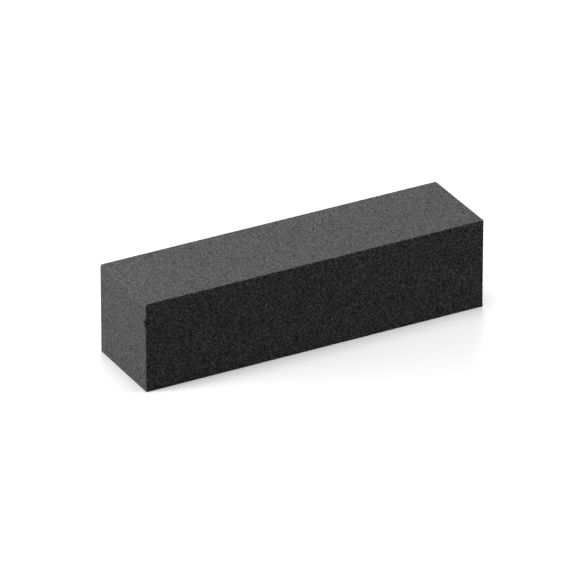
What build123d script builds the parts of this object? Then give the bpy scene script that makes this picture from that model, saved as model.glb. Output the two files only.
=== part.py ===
from build123d import *
import os

# Foam spacer: one block of fine-celled black foam of square section, with a chip out of one upright edge.
# Millimetres. The origin is at the middle of the underside, +X runs along the length and +Z is up.

# Block
length = 97.5
width = 25.0
height = 25.0

# Edges: all are sliced clean, but the upper edge of the left end is worn round
sliced_edge_radius = 0.15
worn_edge_radius = 0.8

# Chip out of the upright edge between the front and the left end: how far its corners lie below the top,
# and how far it reaches from that edge across the end and across the front
chip_top_drop = 4.4
chip_bottom_drop = 8.0
chip_end_drop = 5.2
chip_end_reach = 1.1
chip_front_drop = 6.0
chip_front_reach = 0.85

# The chip is cut as a groove, drawn this many times as wide so that its mouth lies outside the block
groove_width_share = 2.0

# The worn edge lies at this corner of the outline seen from the front
left_end_x = -length / 2
worn_corner = (left_end_x, height)

# Corners of the chip: two on the upright edge, one on the left end and one on the front
front_y = -width / 2
chip_top = Vector(left_end_x, front_y, height - chip_top_drop)
chip_bottom = Vector(left_end_x, front_y, height - chip_bottom_drop)
chip_on_end = Vector(left_end_x, front_y + chip_end_reach, height - chip_end_drop)
chip_on_front = Vector(left_end_x + chip_front_reach, front_y, height - chip_front_drop)

# The groove's crease runs from the left end to the front, and its two sides run out to the upright edge
crease = chip_on_front - chip_on_end
groove_half_length = crease.length + (chip_top - chip_bottom).length
groove_plane = Plane(origin=(chip_on_end + chip_on_front) / 2, z_dir=crease)
groove_upper_side = groove_plane.to_local_coords(chip_top) * groove_width_share
groove_lower_side = groove_plane.to_local_coords(chip_bottom) * groove_width_share

with BuildPart() as foam_block:
    # Outline seen from the front, with the edges of the ends at its corners
    with BuildSketch(Plane.XZ) as side_outline:
        with Locations((0, height / 2)):
            Rectangle(length, height)
        fillet(side_outline.vertices().sort_by_distance(worn_corner)[1:], radius=sliced_edge_radius)
        fillet(side_outline.vertices().sort_by_distance(worn_corner)[0], radius=worn_edge_radius)
    extrude(amount=width / 2, both=True)

    # Edges around the front and the back
    fillet(foam_block.faces().filter_by(Axis.Y).edges(), radius=sliced_edge_radius)

    # Chip
    with BuildSketch(groove_plane) as groove_section:
        with BuildLine():
            Polyline(
                (0, 0),
                (groove_upper_side.X, groove_upper_side.Y),
                (groove_lower_side.X, groove_lower_side.Y),
                close=True,
            )
        make_face()
    extrude(amount=groove_half_length, both=True, mode=Mode.SUBTRACT)

foam_block.part.label = "foam_block"

os.makedirs("parts", exist_ok=True)
export_step(foam_block.part, "parts/foam_block.step")
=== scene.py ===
"""Foam spacer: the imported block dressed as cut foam, with its chip, pores and grain, in a white studio."""

import math

import bpy
from bpy.props import FloatProperty, FloatVectorProperty, IntProperty, PointerProperty
from mathutils import Matrix, Vector


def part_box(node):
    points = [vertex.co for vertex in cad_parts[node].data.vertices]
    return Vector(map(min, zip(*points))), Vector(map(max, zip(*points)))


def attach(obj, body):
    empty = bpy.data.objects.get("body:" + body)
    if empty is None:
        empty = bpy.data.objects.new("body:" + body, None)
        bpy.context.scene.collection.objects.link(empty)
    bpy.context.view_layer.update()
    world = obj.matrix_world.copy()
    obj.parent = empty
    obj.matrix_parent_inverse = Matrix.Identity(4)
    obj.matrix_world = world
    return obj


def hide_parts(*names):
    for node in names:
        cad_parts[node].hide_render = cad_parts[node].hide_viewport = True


bl_info = {
    "name": "Foam Spacer",
    "version": (1, 0, 0),
    "blender": (4, 5, 0),
    "location": "3D View > Sidebar > Foam Spacer",
    "description": "A cut foam block with its chip, pores and grain, and the white studio that it stands in",
    "category": "Object",
}

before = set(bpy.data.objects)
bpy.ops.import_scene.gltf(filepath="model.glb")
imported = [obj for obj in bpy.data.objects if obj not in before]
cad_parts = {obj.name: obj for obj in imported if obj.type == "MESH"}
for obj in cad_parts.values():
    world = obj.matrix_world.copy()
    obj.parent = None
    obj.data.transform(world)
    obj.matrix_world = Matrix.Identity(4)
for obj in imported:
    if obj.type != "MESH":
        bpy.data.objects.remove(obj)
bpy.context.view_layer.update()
BLOCK_NODE = "foam_block"
BLOCK_LOW, BLOCK_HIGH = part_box(BLOCK_NODE)
BLOCK_SIZE = BLOCK_HIGH - BLOCK_LOW
BLOCK_CENTRE = (BLOCK_LOW + BLOCK_HIGH) / 2

MM = 0.001
NEARLY_ZERO = 1e-9

# Marks that the block's points carry for its finish: painted shade in the chip's crease and in the pores, and
# how far each point faces the front
RECESS_SHADE_MARK = "open_cells"
FRONT_MARK = "front_side"

# Finer noise that is laid over the blade's wander and over the torn cells
WANDER_DETAIL = 1.0
TEAR_DETAIL = 2.0

# Pores to a square metre before their spacing thins them out
PORE_CROWD = 1e9

# A cell's mean chance shade, and the mean distance from a point to the middle of its cell in cell spans
USUAL_CHANCE = 0.5
USUAL_HOLLOW = 0.55

# Brings the differences from those two, which reach about a half, to about 1
GRAIN_SWING = 2

# Half the floor's side in white radii, and how far the camera sees in distances to the block
FLOOR_REACH = 8
CAMERA_REACH = 10

WHITE = (1, 1, 1)

# Inputs of the block's nodes, by kind. Those that a user can set have the setting's own name
BLOCK_INPUTS = {
    "NodeSocketFloat": (
        "Length",
        "Width",
        "Height",
        "Grid Step",
        "Crowding",
        "Crowding Reach",
        "Gathering",
        "Gathering Reach",
        "Gathering Level",
        "Sliced Edge Radius",
        "Worn Edge Radius",
        "Chip Upper Tear",
        "Chip Lower Tear",
        "Chip Crease Span",
        "Wander Depth",
        "Wander Span",
        "Tear Depth",
        "Tear Span",
        "Pore Spacing",
        "Pore Margin",
        "Smallest Pore",
        "Largest Pore",
        "Pore Depth",
        "Pore Tear",
    ),
    "NodeSocketVector": ("Chip Crease", "Chip Upper Side", "Chip Lower Side", "Chip Inward"),
    "NodeSocketInt": ("Seed",),
    "NodeSocketMaterial": ("Foam",),
}


def length(name, description, millimetres):
    """A length that a user can set, given in millimetres."""
    return FloatProperty(
        name=name, description=description, default=millimetres * MM, precision=5, unit="LENGTH"
    )


def share(name, description, default):
    """A share from 0 to 1 that a user can set."""
    return FloatProperty(
        name=name, description=description, default=default, min=0.0, max=1.0, subtype="FACTOR"
    )


def contrast(name, description, default):
    """A strength of contrast that a user can set."""
    return FloatProperty(name=name, description=description, default=default, min=0.0)


def grey(name, description, level):
    """A neutral colour that a user can set."""
    return FloatVectorProperty(
        name=name, description=description, default=(level,) * 3, min=0.0, max=1.0, subtype="COLOR"
    )


def place(name, description, metres):
    """A point in the object's frame that a user can set."""
    return FloatVectorProperty(
        name=name, description=description, default=metres, unit="LENGTH", subtype="XYZ"
    )


def power(name, description, watts):
    """A lamp's power that a user can set."""
    return FloatProperty(name=name, description=description, default=watts, min=0.0, unit="POWER")


def angle(name, description, degrees):
    """An angle that a user can set, given in degrees."""
    return FloatProperty(
        name=name, description=description, default=math.radians(degrees), unit="ROTATION"
    )


class FoamBlockSettings(bpy.types.PropertyGroup):
    """Sizes of the block's edges, its chip, its cut faces and its pores"""

    grid_step: length("Grid Step", "Distance between the mesh's points on a flat face", 0.34)
    crowding_share: share("Crowding", "How far the mesh's points are drawn towards the edges", 0.8)
    crowding_reach: length("Crowding Reach", "How far from an edge the points are drawn to it", 1.4)
    gathering_share: share("Gathering", "How far the mesh's rows are drawn to the chip's level", 0.65)
    gathering_reach: length("Gathering Reach", "How far from the chip's level the rows are drawn to it", 1.8)

    sliced_edge_radius: length("Sliced Edge Radius", "Rounding of every edge but one", 0.15)
    worn_edge_radius: length("Worn Edge Radius", "Rounding of the upper edge of the left end", 0.8)

    chip_top_drop: length("Chip Top", "Depth of the chip's upper corner below the top", 4.4)
    chip_bottom_drop: length("Chip Bottom", "Depth of the chip's lower corner below the top", 8.0)
    chip_end_drop: length("Chip End Drop", "Depth of the chip's corner on the left end below the top", 5.2)
    chip_end_reach: length("Chip End Reach", "How far the chip reaches across the left end", 1.1)
    chip_front_drop: length("Chip Front Drop", "Depth of the chip's corner on the front below the top", 6.0)
    chip_front_reach: length("Chip Front Reach", "How far the chip reaches across the front", 0.85)
    # Painted shade on the chip: its upper side and crease are darkened as if in shadow, its lower side less
    # so
    chip_upper_shade: share("Chip Upper Tear", "How torn open the cells of the chip's upper side are", 1.0)
    chip_lower_shade: share("Chip Lower Tear", "How torn open the cells of the chip's lower side are", 0.6)
    chip_crease_span: length("Chip Crease Span", "How far the upper side's tear reaches past the crease", 0.4)

    wander_depth: length("Wander Depth", "How far the blade wandered into the faces", 0.06)
    wander_span: length("Wander Span", "Distance over which the blade wandered", 28.0)
    tear_depth: length("Tear Depth", "Depth of the roughness that the cut left", 0.03)
    tear_span: length("Tear Span", "Size of the roughness that the cut left", 0.9)

    pore_spacing: length("Pore Spacing", "Least distance between two open pores", 5.0)
    pore_margin: length("Pore Margin", "Least distance from an open pore to an edge", 1.2)
    pore_radius_least: length("Smallest Pore", "Radius of the smallest open pore", 0.3)
    pore_radius_most: length("Largest Pore", "Radius of the largest open pore", 0.55)
    pore_depth_share: share("Pore Depth", "Depth of a pore as a share of its radius", 0.5)
    # Painted shade in the middle of each pore, darkest at its deepest point
    pore_shade: share("Pore Tear", "How torn open the cells in the middle of a pore are", 0.7)
    seed: IntProperty(name="Seed", description="Changes the pores' places and sizes", default=7)


class FoamFinishSettings(bpy.types.PropertyGroup):
    """Colour and grain of the cut foam"""

    dark: grey("Dark Cells", "Colour of the darkest cells", 0.0)
    light: grey("Light Cells", "Colour of the lightest cells", 0.5)
    grain_turn: FloatVectorProperty(
        name="Grain Turn",
        description="Turn of the cells against the block",
        default=(0.6, 0.45, 0.9),
        subtype="EULER",
    )
    cell_span: length("Cell Span", "Width of one foam cell", 0.17)
    # The cells' dark middles are painted shade in their cups
    hollow_shade_share: share("Hollow Shade", "Share of the grain that the cells' dark middles and light walls make", 0.7)
    usual_shade: share("Usual Shade", "Where the usual cell lies between dark and light", 0.1635)
    usual_contrast: contrast("Usual Contrast", "Strength of the grain on every side but the front", 0.4)
    # Painted light on the front: a stronger grain stands in for light raking across it, with its own middle
    # shade set to go with it
    front_painted_shade: share("Front Painted Shade", "Where the front's usual cell lies between dark and light", 0.122)
    front_painted_contrast: contrast("Front Painted Contrast", "Strength of the grain on the front's open cells", 0.95)
    cup_depth: length("Cup Depth", "Depth of a cut cell", 0.05)
    # Painted shade in the chip's crease and the pores: they lose this share of their paleness
    recess_shade_darkness: share("Recess Shade Darkness", "Share of its paleness that a torn cell loses", 0.95)
    roughness_least: share("Least Roughness", "Roughness of the lightest cells", 0.78)
    roughness_most: share("Most Roughness", "Roughness of the darkest cells", 0.95)
    gloss: share("Gloss", "Strength of the foam's reflections", 0.03)
    sheen: share("Sheen", "Paleness of the cell walls at a glancing angle", 0.05)
    sheen_roughness: share("Sheen Roughness", "How wide the paleness at a glancing angle spreads", 0.5)


class StudioSettings(bpy.types.PropertyGroup):
    """Floor, lights and camera"""

    paper: grey("Paper", "Colour of the floor as it is seen", 1.0)
    bounce: grey("Bounce", "Colour of the floor in the light that it throws back", 0.15)
    surround: grey("Surround", "Dim light from all round", 0.03)
    lit_radius: length("Lit Radius", "Floor within this distance shows the lights and the shadow", 180.0)
    white_radius: length("White Radius", "Floor beyond this distance is plain white", 320.0)

    overhead_place: place("Overhead Place", "Where the softbox above the block hangs", (-0.05, -0.03, 1.21))
    overhead_side: length("Overhead Side", "Side of the softbox above the block", 600.0)
    overhead_power: power("Overhead Power", "Power of the softbox above the block", 9.5)
    left_place: place("Left Place", "Where the low softbox on the left stands", (-0.3, 0.065, 0.09))
    left_side: length("Left Side", "Side of the low softbox on the left", 120.0)
    left_power: power("Left Power", "Power of the low softbox on the left", 0.9)
    back_place: place("Back Place", "Where the softbox behind the block stands", (0.55, 1.003, 0.377))
    back_side: length("Back Side", "Side of the softbox behind the block", 375.0)
    back_power: power("Back Power", "Power of the softbox behind the block", 9.2)
    right_place: place("Right Place", "Where the softbox on the right stands", (0.43, -0.18, 0.393))
    right_side: length("Right Side", "Side of the softbox on the right", 183.0)
    right_power: power("Right Power", "Power of the softbox on the right", 1.13)

    azimuth: angle("Azimuth", "Turn of the camera from the front", -28.43)
    elevation: angle("Elevation", "Height of the camera's view", 27.68)
    distance: length("Distance", "From the camera to the middle of the block", 2000.0)
    right_offset: length("Right Offset", "How far right of the picture's middle the block sits", 0.757)
    up_offset: length("Up Offset", "How far above the picture's middle the block sits", 1.139)
    lens: FloatProperty(name="Lens", description="Focal length of the camera", default=486.9, unit="CAMERA")


class FoamSpacerSettings(bpy.types.PropertyGroup):
    """All that a user can change"""

    block: PointerProperty(type=FoamBlockSettings)
    finish: PointerProperty(type=FoamFinishSettings)
    studio: PointerProperty(type=StudioSettings)


class Wire:
    """An output socket, used as a number: arithmetic on it adds Math nodes to its tree."""

    def __init__(self, graph, socket):
        self.graph = graph
        self.socket = socket

    def __getitem__(self, name):
        """Another output of the same node."""
        return Wire(self.graph, self.socket.node.outputs[name])

    def math(self, operation, *terms):
        """A Math node."""
        return self.graph.add("ShaderNodeMath", {"operation": operation}, dict(enumerate(terms)))

    def __add__(self, other):
        return self.math("ADD", self, other)

    def __radd__(self, other):
        return self.math("ADD", other, self)

    def __sub__(self, other):
        return self.math("SUBTRACT", self, other)

    def __rsub__(self, other):
        return self.math("SUBTRACT", other, self)

    def __mul__(self, other):
        return self.math("MULTIPLY", self, other)

    def __rmul__(self, other):
        return self.math("MULTIPLY", other, self)

    def __truediv__(self, other):
        return self.math("DIVIDE", self, other)

    def __rtruediv__(self, other):
        return self.math("DIVIDE", other, self)

    def __pow__(self, other):
        return self.math("POWER", self, other)

    def __rpow__(self, other):
        return self.math("POWER", other, self)

    def __abs__(self):
        return self.math("ABSOLUTE", self)

    def __neg__(self):
        return self * -1

    def __lt__(self, other):
        return self.math("LESS_THAN", self, other)

    def __gt__(self, other):
        return self.math("GREATER_THAN", self, other)

    def sign(self):
        return self.math("SIGN", self)

    def exp(self):
        return self.math("EXPONENT", self)

    def at_least(self, other):
        return self.math("MAXIMUM", self, other)

    def at_most(self, other):
        return self.math("MINIMUM", self, other)


class Graph:
    """A node tree while it is being filled."""

    def __init__(self, tree):
        self.tree = tree
        self.tree.nodes.clear()

    def add(self, kind, settings=None, sockets=None):
        """A new node: settings first, then its sockets' values or links. Gives its first output, if any."""
        node = self.tree.nodes.new(kind)
        for name, value in (settings or {}).items():
            setattr(node, name, value)
        for key, value in (sockets or {}).items():
            socket = self.live_socket(node, key)
            if isinstance(value, Wire):
                self.tree.links.new(value.socket, socket)
            else:
                socket.default_value = value
        outputs = [socket for socket in node.outputs if socket.enabled]
        return Wire(self, outputs[0]) if outputs else None

    @staticmethod
    def live_socket(node, key):
        """An input by its number or its name, leaving out those that the node's settings switch off."""
        if isinstance(key, int):
            return node.inputs[key]
        return next(socket for socket in node.inputs if socket.enabled and socket.name == key)

    def declare(self, name, kind, direction="INPUT"):
        """A named socket of the whole tree."""
        return self.tree.interface.new_socket(name=name, in_out=direction, socket_type=kind)

    def vector(self, operation, *terms):
        """Vector maths."""
        return self.add("ShaderNodeVectorMath", {"operation": operation}, dict(enumerate(terms)))

    def scaled(self, vector, factor):
        """A vector times a number."""
        return self.add("ShaderNodeVectorMath", {"operation": "SCALE"}, {0: vector, "Scale": factor})

    def axes(self, vector):
        """A vector's three numbers, by their names X, Y and Z."""
        return self.add("ShaderNodeSeparateXYZ", None, {"Vector": vector})

    def mixed(self, factor, first_colour, second_colour):
        """A colour between two."""
        return self.add(
            "ShaderNodeMix",
            {"data_type": "RGBA"},
            {"Factor": factor, "A": (*first_colour, 1), "B": (*second_colour, 1)},
        )

    def marked(self, mesh, name, value):
        """A mesh whose points carry a number by that name."""
        return self.add(
            "GeometryNodeStoreNamedAttribute",
            {"data_type": "FLOAT", "domain": "POINT"},
            {"Geometry": mesh, "Name": name, "Value": value},
        )


def crowded(coordinate, half, share_drawn, reach):
    """The coordinate drawn towards its nearer end, so that the mesh is fine along the edges."""
    inside = half - abs(coordinate)
    near = inside / reach
    drawn = inside * (1 - share_drawn * (-(near * near)).exp())
    return coordinate.sign() * (half - drawn)


def gathered(coordinate, level, share_drawn, reach):
    """The coordinate drawn towards a level, so that the mesh is fine there."""
    away = coordinate - level
    near = away / reach
    return coordinate - away * share_drawn * (-(near * near)).exp()


def rounded(first, second, first_half, second_half, radius):
    """Two coordinates moved so that the edge where both reach their ends is round."""
    first_over = (abs(first) - (first_half - radius)).at_least(0)
    second_over = (abs(second) - (second_half - radius)).at_least(0)
    diagonal = ((first_over * first_over + second_over * second_over) ** 0.5).at_least(NEARLY_ZERO)
    pulled = 1 - first_over.at_least(second_over) / diagonal
    return first - first.sign() * first_over * pulled, second - second.sign() * second_over * pulled


def block_tree():
    """Geometry nodes of the block: a fine box with round edges, the chip, the cut's roughness and pores."""
    graph = Graph(bpy.data.node_groups.new("Cut foam block", "GeometryNodeTree"))
    for kind, names in BLOCK_INPUTS.items():
        for name in names:
            graph.declare(name, kind)
    graph.declare("Geometry", "NodeSocketGeometry", "OUTPUT")
    given = graph.add("NodeGroupInput")

    mesh = shaped_box(graph, given)
    mesh = roughened(graph, given, mesh)
    mesh = graph.add("GeometryNodeSetShadeSmooth", None, {"Geometry": mesh, "Shade Smooth": True})
    mesh = graph.add("GeometryNodeRealizeInstances", None, {"Geometry": mesh})
    mesh = graph.add("GeometryNodeSetMaterial", None, {"Geometry": mesh, "Material": given["Foam"]})
    graph.add("NodeGroupOutput", None, {"Geometry": mesh})
    return graph.tree


def shaped_box(graph, given):
    """The grid box with its round edges and its chip, standing on the ground."""
    sides = [given[name] for name in ("Length", "Width", "Height")]
    halves = [side / 2 for side in sides]
    counts = [side / given["Grid Step"] + 1 for side in sides]
    size = graph.add("ShaderNodeCombineXYZ", None, dict(enumerate(sides)))
    box = graph.add(
        "GeometryNodeMeshCube",
        None,
        {"Size": size, "Vertices X": counts[0], "Vertices Y": counts[1], "Vertices Z": counts[2]},
    )
    position = graph.axes(graph.add("GeometryNodeInputPosition"))
    x, y, z = (
        crowded(position[axis], half, given["Crowding"], given["Crowding Reach"])
        for axis, half in zip("XYZ", halves, strict=True)
    )
    z = gathered(z, given["Gathering Level"], given["Gathering"], given["Gathering Reach"])
    sliced = given["Sliced Edge Radius"]
    worn = (x < 0) * (z > 0)
    x, z = rounded(x, z, halves[0], halves[2], sliced + worn * (given["Worn Edge Radius"] - sliced))
    x, y = rounded(x, y, halves[0], halves[1], sliced)
    y, z = rounded(y, z, halves[1], halves[2], sliced)
    standing = graph.add("ShaderNodeCombineXYZ", None, {"X": x, "Y": y, "Z": z + halves[2]})
    # The chip's painted shade goes into the mark that darkens the foam's colour
    inward, torn = chip(graph, given, standing)
    return graph.add(
        "GeometryNodeSetPosition",
        None,
        {"Geometry": graph.marked(box, RECESS_SHADE_MARK, torn), "Position": graph.vector("ADD", standing, inward)},
    )


def chip(graph, given, point):
    """How far a point in the chip moves to reach the nearer of the chip's two sides, and the painted shade it
    gets there: full on the upper side under the crease, fading past the crease to less on the lower side.
    """
    from_crease = graph.vector("SUBTRACT", point, given["Chip Crease"])
    upper = graph.vector("DOT_PRODUCT", from_crease, given["Chip Upper Side"])["Value"]
    lower = graph.vector("DOT_PRODUCT", from_crease, given["Chip Lower Side"])["Value"]
    depth = upper.at_most(lower).at_least(0)
    past_crease = ((upper - lower) / given["Chip Crease Span"]).at_least(0).at_most(1)
    # Painted shade in the chip: full on the upper side, fading past the crease to the lower side's share
    crease_shade = given["Chip Upper Tear"] + past_crease * (given["Chip Lower Tear"] - given["Chip Upper Tear"])
    return graph.scaled(given["Chip Inward"], depth), depth.sign() * crease_shade


def noise(graph, position, span, detail):
    """Soft noise from 0 to 1 with swells of the given span."""
    return graph.add("ShaderNodeTexNoise", None, {"Vector": position, "Scale": 1 / span, "Detail": detail})


def roughened(graph, given, mesh):
    """The faces sunk by the blade's wander, by the torn cells and by open pores, always inward."""
    position = graph.add("GeometryNodeInputPosition")
    normal = graph.add("GeometryNodeInputNormal")
    bowl, radius = pore_bowls(graph, given, mesh, position)
    wander = noise(graph, position, given["Wander Span"], WANDER_DETAIL)
    tears = noise(graph, position, given["Tear Span"], TEAR_DETAIL)
    depth = wander * given["Wander Depth"] + tears * given["Tear Depth"] + bowl * radius * given["Pore Depth"]
    # Painted shade: the chip's crease shade, raised to the pores' painted shade in their bowls, goes into the
    # mark that darkens the foam
    torn = graph.add("GeometryNodeInputNamedAttribute", {"data_type": "FLOAT"}, {"Name": RECESS_SHADE_MARK})
    mesh = graph.marked(mesh, FRONT_MARK, (-graph.axes(normal)["Y"]).at_least(0))
    mesh = graph.marked(mesh, RECESS_SHADE_MARK, torn.at_least(bowl * given["Pore Tear"]))
    return graph.add(
        "GeometryNodeSetPosition", None, {"Geometry": mesh, "Offset": graph.scaled(normal, -depth)}
    )


def off_edges(graph, given, position):
    """1 on the faces and 0 near the edges, where a point lies close to two faces at once."""
    axes = graph.axes(position)
    x = given["Length"] / 2 - abs(axes["X"])
    y = given["Width"] / 2 - abs(axes["Y"])
    z = given["Height"] / 2 - abs(axes["Z"] - given["Height"] / 2)
    second_nearest = x.at_most(y).at_least(x.at_least(y).at_most(z))
    return second_nearest > given["Pore Margin"]


def pore_bowls(graph, given, mesh, position):
    """How far each point lies down the bowl of its nearest pore, from 0 to 1, and that pore's radius."""
    pores = graph.add(
        "GeometryNodeDistributePointsOnFaces",
        {"distribute_method": "POISSON"},
        {
            "Mesh": mesh,
            "Selection": off_edges(graph, given, position),
            "Distance Min": given["Pore Spacing"],
            "Density Max": PORE_CROWD,
            "Seed": given["Seed"],
        },
    )
    nearest = graph.add(
        "GeometryNodeSampleNearest", {"domain": "POINT"}, {"Geometry": pores, "Sample Position": position}
    )

    def of_nearest(kind, value):
        """A value of the pore nearest to each point."""
        return graph.add(
            "GeometryNodeSampleIndex",
            {"data_type": kind, "domain": "POINT"},
            {"Geometry": pores, "Value": value, "Index": nearest},
        )

    chance = graph.add("FunctionNodeRandomValue", {"data_type": "FLOAT"}, {"Seed": given["Seed"]})
    size = given["Smallest Pore"] + chance * chance * (given["Largest Pore"] - given["Smallest Pore"])
    radius = of_nearest("FLOAT", size)
    outward = graph.vector("DISTANCE", position, of_nearest("FLOAT_VECTOR", position))["Value"] / radius
    return (1 - outward * outward).at_least(0), radius


def chip_sides(settings):
    """The chip's crease and its two sides, as the vectors that give the depth of a point below each side."""
    edge = Vector((BLOCK_LOW.x, BLOCK_LOW.y, BLOCK_HIGH.z))
    top = edge - Vector((0, 0, settings.chip_top_drop))
    bottom = edge - Vector((0, 0, settings.chip_bottom_drop))
    on_end = edge + Vector((0, settings.chip_end_reach, -settings.chip_end_drop))
    on_front = edge + Vector((settings.chip_front_reach, 0, -settings.chip_front_drop))
    # Straight in from the upright edge
    inward = Vector((1, 1, 0)).normalized()

    def side(corner):
        """The side through the crease and this corner."""
        normal = (on_front - on_end).cross(corner - on_end)
        return normal / -normal.dot(inward)

    return {
        "Chip Crease": on_end,
        "Chip Upper Side": side(top),
        "Chip Lower Side": side(bottom),
        "Chip Inward": inward,
    }


def foam_material(settings):
    """Matt cut foam: fine cells of uneven shade, each with painted shade in its middle, and a stronger grain
    painted on the front for light raking across it.
    """
    material = bpy.data.materials.new("Cut foam")
    material.use_nodes = True
    graph = Graph(material.node_tree)
    turned = graph.add(
        "ShaderNodeMapping",
        None,
        {"Vector": graph.add("ShaderNodeTexCoord")["Object"], "Rotation": settings.grain_turn},
    )
    cells = graph.add(
        "ShaderNodeTexVoronoi", {"feature": "F1"}, {"Vector": turned, "Scale": 1 / settings.cell_span}
    )
    chance = graph.add("ShaderNodeSeparateColor", None, {"Color": cells["Color"]})["Red"]
    hollow = cells["Distance"]
    open_cells = graph.add("ShaderNodeAttribute", {"attribute_name": RECESS_SHADE_MARK})["Fac"]
    front = graph.add("ShaderNodeAttribute", {"attribute_name": FRONT_MARK})["Fac"]

    uneven = (chance - USUAL_CHANCE) * (1 - settings.hollow_shade_share)
    # Darker towards each cell's middle: painted shade in its cup, which the bump also sinks
    grain = (uneven + (hollow - USUAL_HOLLOW) * settings.hollow_shade_share) * GRAIN_SWING
    # On the front the grain is painted stronger, standing in for light raking across it
    middle = settings.usual_shade + front * (settings.front_painted_shade - settings.usual_shade)
    strength = settings.usual_contrast + front * (settings.front_painted_contrast - settings.usual_contrast)
    closed = (middle + grain * strength).at_least(0).at_most(1)
    # Painted shade darkens the chip's crease and the middles of the pores
    shade = closed * (1 - open_cells * settings.recess_shade_darkness)
    roughness = settings.roughness_most - shade * (settings.roughness_most - settings.roughness_least)
    normal = graph.add(
        "ShaderNodeBump", None, {"Strength": 1.0, "Distance": 1.0, "Height": hollow * settings.cup_depth}
    )
    foam = graph.add(
        "ShaderNodeBsdfPrincipled",
        None,
        {
            "Base Color": graph.mixed(shade, settings.dark, settings.light),
            "Roughness": roughness,
            "Specular IOR Level": settings.gloss,
            "Sheen Weight": settings.sheen,
            "Sheen Roughness": settings.sheen_roughness,
            "Normal": normal,
        },
    )
    graph.add("ShaderNodeOutputMaterial", None, {"Surface": foam})
    return material


def seen_directly(graph):
    """1 for the camera and for reflections, 0 for the light that falls on the object."""
    path = graph.add("ShaderNodeLightPath")
    return path["Is Camera Ray"].at_least(path["Is Glossy Ray"]).at_least(path["Is Transmission Ray"])


def paper_material(settings):
    """White paper that keeps the shadow near the block and runs out to plain white."""
    material = bpy.data.materials.new("White paper")
    material.use_nodes = True
    graph = Graph(material.node_tree)
    seen = seen_directly(graph)
    paper = graph.add(
        "ShaderNodeBsdfDiffuse", None, {"Color": graph.mixed(seen, settings.bounce, settings.paper)}
    )
    white = graph.add("ShaderNodeEmission", None, {"Color": (*WHITE, 1), "Strength": seen})
    away = graph.vector("LENGTH", graph.add("ShaderNodeTexCoord")["Object"])["Value"]
    fade = graph.add(
        "ShaderNodeMapRange",
        {"interpolation_type": "SMOOTHSTEP"},
        {"Value": away, "From Min": settings.lit_radius, "From Max": settings.white_radius},
    )
    surface = graph.add("ShaderNodeMixShader", None, {0: fade * seen, 1: paper, 2: white})
    graph.add("ShaderNodeOutputMaterial", None, {"Surface": surface})
    return material


def plain_mesh(piece):
    """Turn the piece's nodes into its own mesh."""
    evaluated = piece.evaluated_get(bpy.context.evaluated_depsgraph_get())
    mesh = bpy.data.meshes.new_from_object(evaluated)
    mesh.name = piece.name
    piece.modifiers.clear()
    piece.data = mesh


def put(name, data):
    """A new object in the scene."""
    made = bpy.data.objects.new(name, data)
    bpy.context.scene.collection.objects.link(made)
    return made


class FOAM_OT_block(bpy.types.Operator):
    """Make the cut foam block in place of the plain solid"""

    bl_idname = "foam_spacer.block"
    bl_label = "Foam Block"

    def execute(self, context):
        settings = context.scene.foam_spacer.block
        tree = block_tree()
        chip_level = (settings.chip_top_drop + settings.chip_front_drop) / 2
        values = {
            settings.bl_rna.properties[key].name: getattr(settings, key)
            for key in FoamBlockSettings.__annotations__
        }
        values |= chip_sides(settings)
        values |= zip(("Length", "Width", "Height"), BLOCK_SIZE, strict=True)
        values["Gathering Level"] = BLOCK_SIZE.z / 2 - chip_level
        values["Foam"] = foam_material(context.scene.foam_spacer.finish)

        block = put("cut_foam_block", bpy.data.meshes.new("cut_foam_block"))
        modifier = block.modifiers.new("Cut foam block", "NODES")
        modifier.node_group = tree
        for item in tree.interface.items_tree:
            if item.in_out == "INPUT":
                modifier[item.identifier] = values[item.name]
        plain_mesh(block)
        if not block.data.polygons:
            raise RuntimeError("the block's nodes gave no faces")
        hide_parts(BLOCK_NODE)
        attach(block, "root")
        return {"FINISHED"}


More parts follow.
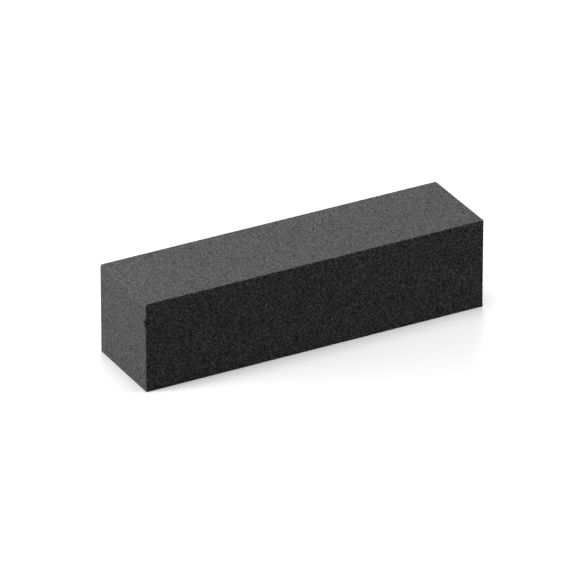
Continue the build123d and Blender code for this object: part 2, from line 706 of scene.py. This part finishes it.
class FOAM_OT_studio(bpy.types.Operator):
    """Set up the white floor, the four softboxes and the camera"""

    bl_idname = "foam_spacer.studio"
    bl_label = "Studio"

    def execute(self, context):
        settings = context.scene.foam_spacer.studio
        context.scene.view_settings.view_transform = "Standard"
        self.floor(settings)
        self.world(context.scene, settings)
        for name in ("overhead", "left", "back", "right"):
            self.softbox(
                f"{name} softbox",
                getattr(settings, f"{name}_place"),
                getattr(settings, f"{name}_side"),
                getattr(settings, f"{name}_power"),
            )
        context.scene.camera = self.camera(settings)
        return {"FINISHED"}

    @staticmethod
    def floor(settings):
        """The white paper that the block stands on."""
        reach = settings.white_radius * FLOOR_REACH
        mesh = bpy.data.meshes.new("paper_floor")
        corners = [(-reach, -reach, 0), (reach, -reach, 0), (reach, reach, 0), (-reach, reach, 0)]
        mesh.from_pydata(corners, [], [range(len(corners))])
        mesh.materials.append(paper_material(settings))
        put("paper_floor", mesh)

    @staticmethod
    def world(scene, settings):
        """A dim surround that looks white."""
        scene.world = bpy.data.worlds.new("White surround")
        scene.world.use_nodes = True
        graph = Graph(scene.world.node_tree)
        colour = graph.mixed(seen_directly(graph), settings.surround, WHITE)
        background = graph.add("ShaderNodeBackground", None, {"Color": colour})
        graph.add("ShaderNodeOutputWorld", None, {"Surface": background})

    @staticmethod
    def softbox(name, location, side, watts):
        """A square lamp that faces the block."""
        light = bpy.data.lights.new(name, "AREA")
        light.shape = "SQUARE"
        light.size = side
        light.energy = watts
        box = put(name, light)
        box.location = location
        box.rotation_euler = (BLOCK_CENTRE - box.location).to_track_quat("-Z", "Y").to_euler()
        box.visible_camera = False

    @staticmethod
    def camera(settings):
        """The camera at the photograph's viewing angle."""
        level = math.cos(settings.elevation)
        back = Vector(
            (
                math.sin(settings.azimuth) * level,
                -math.cos(settings.azimuth) * level,
                math.sin(settings.elevation),
            )
        )
        right = Vector((0, 0, 1)).cross(back).normalized()
        up = back.cross(right)
        data = bpy.data.cameras.new("Camera")
        data.lens = settings.lens
        data.clip_end = CAMERA_REACH * settings.distance
        camera = put("Camera", data)
        turn = Matrix((right, up, back)).transposed().to_4x4()
        aside = right * settings.right_offset + up * settings.up_offset
        camera.matrix_world = Matrix.Translation(BLOCK_CENTRE + back * settings.distance - aside) @ turn
        return camera


class FOAM_PT_sidebar(bpy.types.Panel):
    """Lists the values of the block, its finish and the studio"""

    bl_idname = "FOAM_PT_sidebar"
    bl_label = "Foam Spacer"
    bl_space_type = "VIEW_3D"
    bl_region_type = "UI"
    bl_category = "Foam Spacer"

    def draw(self, context):
        settings = context.scene.foam_spacer
        for group, operator in (
            (settings.block, FOAM_OT_block),
            (settings.finish, None),
            (settings.studio, FOAM_OT_studio),
        ):
            box = self.layout.box()
            for name in type(group).__annotations__:
                box.prop(group, name)
            if operator:
                box.operator(operator.bl_idname)


CLASSES = (
    FoamBlockSettings,
    FoamFinishSettings,
    StudioSettings,
    FoamSpacerSettings,
    FOAM_OT_block,
    FOAM_OT_studio,
    FOAM_PT_sidebar,
)


def register():
    for made in CLASSES:
        bpy.utils.register_class(made)
    bpy.types.Scene.foam_spacer = PointerProperty(type=FoamSpacerSettings)


def unregister():
    del bpy.types.Scene.foam_spacer
    for made in reversed(CLASSES):
        bpy.utils.unregister_class(made)


def main():
    register()
    bpy.ops.foam_spacer.block()
    bpy.ops.foam_spacer.studio()


if __name__ == "__main__":
    main()
